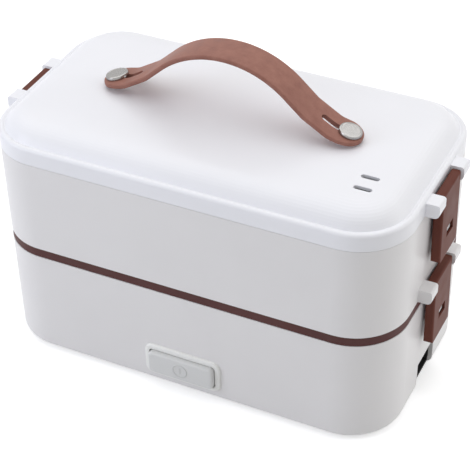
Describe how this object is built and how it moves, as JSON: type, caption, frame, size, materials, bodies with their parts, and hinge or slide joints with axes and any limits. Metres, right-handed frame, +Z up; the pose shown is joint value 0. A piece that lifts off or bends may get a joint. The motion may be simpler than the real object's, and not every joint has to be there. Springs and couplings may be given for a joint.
{
  "type": "electric lunch box",
  "caption": "Oblong stacking electric lunch box: heated base with a front power button, upper tier with a seal band, lift-off lid with a strap handle, hinged end latches.",
  "frame": {"origin": "middle of the object's bounding box, on the surface that it stands on", "axes": "+X along the length towards the end with the power inlet, -Y towards the front with the power button, +Z up"},
  "size_m": [0.2512, 0.1367, 0.1838],
  "materials": {
    "shell": "white moulded polypropylene, soft gloss",
    "white_inner": "white moulded polypropylene, matt",
    "seal_brown": "dark brown silicone, matt",
    "latch_brown": "brown moulded plastic, soft gloss",
    "strap_leather": "red-brown leather, fine grain",
    "steel_cap": "brushed steel",
    "steel_sheet": "drawn stainless sheet, satin",
    "steel_pin": "plated steel",
    "duct_rubber": "black silicone, matt",
    "silicone": "translucent white silicone",
    "foot_rubber": "dark rubber, matt",
    "button_face": "grey-green plastic, matt",
    "frame_face": "pale grey-green plastic, soft gloss",
    "black_plastic": "black moulded plastic, matt",
    "brass": "plated brass",
    "heater_ceramic": "cast aluminium block round the heating element",
    "thermostat_case": "brown moulded resin",
    "fuse_sleeve": "woven glass sleeve",
    "block_nylon": "natural nylon",
    "lamp_lens": "amber lens",
    "wire_brown": "brown sleeve",
    "wire_blue": "blue sleeve",
    "wire_green": "green sleeve",
    "wire_red": "red sleeve",
    "bowl_lid_plastic": "translucent white plastic"
  },
  "bodies": {
    "base": {"base_shell": "shell", "base_catches": "shell", "bottom_cover": "white_inner", "foot_front_left": "foot_rubber", "foot_front_right": "foot_rubber", "foot_rear_left": "foot_rubber", "foot_rear_right": "foot_rubber", "cover_screws": "steel_pin", "heating_dish": "steel_sheet", "dish_gasket": "silicone", "heater_block": "heater_ceramic", "heater_clamp": "steel_pin", "thermostat": "thermostat_case", "thermal_fuse": "fuse_sleeve", "terminal_block": "block_nylon", "power_switch": "black_plastic", "button_frame": "frame_face", "button_spring": "steel_pin", "signal_lamp": "lamp_lens", "inlet_housing": "black_plastic", "inlet_pins": "brass", "live_wire": "wire_brown", "neutral_wire": "wire_blue", "earth_wire": "wire_green", "switch_wire": "wire_red"},
    "power_button": {"power_button": "button_face"},
    "lower_bowl_left": {"lower_bowl_left": "steel_sheet"},
    "lower_bowl_right": {"lower_bowl_right": "steel_sheet"},
    "lower_bowl_lid_left": {"lower_bowl_lid_left": "bowl_lid_plastic"},
    "lower_bowl_lid_right": {"lower_bowl_lid_right": "bowl_lid_plastic"},
    "tier": {"tier_shell": "shell", "tier_ears": "shell", "tier_catches": "shell", "tier_seal": "seal_brown", "steam_plate": "steel_sheet", "lower_pin_left": "steel_pin", "lower_pin_right": "steel_pin"},
    "upper_bowl_left": {"upper_bowl_left": "steel_sheet"},
    "upper_bowl_right": {"upper_bowl_right": "steel_sheet"},
    "upper_bowl_lid_left": {"upper_bowl_lid_left": "bowl_lid_plastic"},
    "upper_bowl_lid_right": {"upper_bowl_lid_right": "bowl_lid_plastic"},
    "lower_latch_left": {"lower_latch_left": "latch_brown"},
    "lower_latch_right": {"lower_latch_right": "latch_brown"},
    "lid": {"lid_shell": "shell", "lid_ears": "shell", "lid_liner": "white_inner", "lid_gasket": "silicone", "steam_duct": "duct_rubber", "liner_screws": "steel_pin", "upper_pin_left": "steel_pin", "upper_pin_right": "steel_pin", "strap": "strap_leather", "stud_left": "steel_cap", "stud_right": "steel_cap", "stud_washers": "steel_pin", "stud_nuts": "steel_pin"},
    "upper_latch_left": {"upper_latch_left": "latch_brown"},
    "upper_latch_right": {"upper_latch_right": "latch_brown"}
  },
  "joints": [
    {"name": "tier_lift", "type": "slide", "parent": "base", "child": "tier", "axis": [0, 0, 1], "range_m": [0, 0.11]},
    {"name": "lid_lift", "type": "slide", "parent": "tier", "child": "lid", "axis": [0, 0, 1], "range_m": [0, 0.09]},
    {"name": "button_press", "type": "slide", "parent": "base", "child": "power_button", "axis": [0, 1, 0], "range_m": [0, 0.0018], "stiffness_N_per_m": 600, "deforming": ["button_spring"]},
    {"name": "upper_latch_left_hinge", "type": "hinge", "parent": "lid", "child": "upper_latch_left", "pos_m": [-0.122, 0.0022, 0.1326], "axis": [0, 1, 0], "range_deg": [-2.2, 115]},
    {"name": "upper_latch_right_hinge", "type": "hinge", "parent": "lid", "child": "upper_latch_right", "pos_m": [0.122, 0.0022, 0.1326], "axis": [0, -1, 0], "range_deg": [-2.2, 115]},
    {"name": "lower_latch_left_hinge", "type": "hinge", "parent": "tier", "child": "lower_latch_left", "pos_m": [-0.122, 0.0022, 0.0774], "axis": [0, 1, 0], "range_deg": [-2.2, 115]},
    {"name": "lower_latch_right_hinge", "type": "hinge", "parent": "tier", "child": "lower_latch_right", "pos_m": [0.122, 0.0022, 0.0774], "axis": [0, -1, 0], "range_deg": [-2.2, 115]},
    {"name": "lower_bowl_left_lift", "type": "slide", "parent": "base", "child": "lower_bowl_left", "axis": [0, 0, 1], "range_m": [0, 0.055]},
    {"name": "lower_bowl_lid_left_lift", "type": "slide", "parent": "lower_bowl_left", "child": "lower_bowl_lid_left", "axis": [0, 0, 1], "range_m": [0, 0.022]},
    {"name": "lower_bowl_right_lift", "type": "slide", "parent": "base", "child": "lower_bowl_right", "axis": [0, 0, 1], "range_m": [0, 0.055]},
    {"name": "lower_bowl_lid_right_lift", "type": "slide", "parent": "lower_bowl_right", "child": "lower_bowl_lid_right", "axis": [0, 0, 1], "range_m": [0, 0.022]},
    {"name": "upper_bowl_left_lift", "type": "slide", "parent": "tier", "child": "upper_bowl_left", "axis": [0, 0, 1], "range_m": [0, 0.0585]},
    {"name": "upper_bowl_lid_left_lift", "type": "slide", "parent": "upper_bowl_left", "child": "upper_bowl_lid_left", "axis": [0, 0, 1], "range_m": [0, 0.018]},
    {"name": "upper_bowl_right_lift", "type": "slide", "parent": "tier", "child": "upper_bowl_right", "axis": [0, 0, 1], "range_m": [0, 0.0585]},
    {"name": "upper_bowl_lid_right_lift", "type": "slide", "parent": "upper_bowl_right", "child": "upper_bowl_lid_right", "axis": [0, 0, 1], "range_m": [0, 0.018]}
  ],
  "couplings": [
    {"joint": "lower_bowl_left_lift", "follows": "tier_lift", "ratio": 0.5},
    {"joint": "lower_bowl_lid_left_lift", "follows": "tier_lift", "ratio": 0.2},
    {"joint": "lower_bowl_right_lift", "follows": "tier_lift", "ratio": 0.5},
    {"joint": "lower_bowl_lid_right_lift", "follows": "tier_lift", "ratio": 0.2},
    {"joint": "upper_bowl_left_lift", "follows": "lid_lift", "ratio": 0.65},
    {"joint": "upper_bowl_lid_left_lift", "follows": "lid_lift", "ratio": 0.2},
    {"joint": "upper_bowl_right_lift", "follows": "lid_lift", "ratio": 0.65},
    {"joint": "upper_bowl_lid_right_lift", "follows": "lid_lift", "ratio": 0.2}
  ]
}
